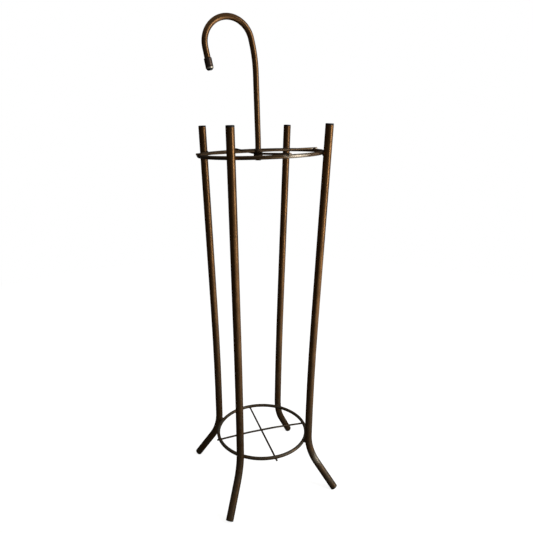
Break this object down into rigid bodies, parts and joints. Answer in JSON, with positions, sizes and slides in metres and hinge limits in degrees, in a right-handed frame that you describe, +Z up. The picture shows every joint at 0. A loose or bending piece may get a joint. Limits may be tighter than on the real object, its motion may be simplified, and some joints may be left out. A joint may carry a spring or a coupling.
{
  "type": "umbrella stand",
  "caption": "Tall open umbrella stand: bent tube legs outside a gathering ring and a lower ring with cross wires, with a crook-shaped carrying hook rising from the middle.",
  "frame": {"origin": "the floor point under the middle of the whole stand, between the feet", "axes": "+Z up; -Y front; the carrying hook opens towards -X"},
  "size_m": [0.2172, 0.2143, 0.8154],
  "materials": {
    "bronze_paint_leg": "aged bronze-brown paint on steel tube, satin, chipped",
    "bronze_paint_hook": "aged bronze-brown paint on steel tube, satin, handled",
    "bronze_paint_ring": "aged bronze-brown paint on steel rod, worn to metal along the front",
    "bronze_paint_wire": "aged bronze-brown paint on steel wire",
    "weld_bead": "lumpy painted weld",
    "dark_collar": "dark painted steel",
    "ferrule_paint": "dark brown paint, worn to a bright band at the lower rim",
    "dark_plug": "dark moulded plug, dusty",
    "foot_plug_metal": "greyish moulded plug, scuffed",
    "black_tip": "black rounded plug, slightly glossy"
  },
  "bodies": {
    "root": {"leg_front_left": "bronze_paint_leg", "leg_front_right": "bronze_paint_leg", "leg_back_left": "bronze_paint_leg", "leg_back_right": "bronze_paint_leg", "top_plug_front_left": "dark_plug", "top_plug_front_right": "dark_plug", "top_plug_back_left": "dark_plug", "top_plug_back_right": "dark_plug", "foot_plug_front_left": "foot_plug_metal", "foot_plug_front_right": "foot_plug_metal", "foot_plug_back_left": "foot_plug_metal", "foot_plug_back_right": "foot_plug_metal", "top_ring": "bronze_paint_ring", "bottom_ring": "bronze_paint_ring", "top_bar_left_right": "bronze_paint_wire", "top_bar_front_back": "bronze_paint_wire", "bottom_wire_front_back": "bronze_paint_wire", "bottom_wire_left_right": "bronze_paint_wire", "top_ring_welds": "weld_bead", "bottom_ring_welds": "weld_bead", "top_bar_welds": "weld_bead", "bottom_wire_welds": "weld_bead", "stem_weld": "weld_bead", "hook_tube": "bronze_paint_hook", "hub_collar": "dark_collar", "stem_end_plug": "dark_plug", "hook_ferrule": "ferrule_paint", "hook_tip_plug": "black_tip"}
  },
  "joints": []
}
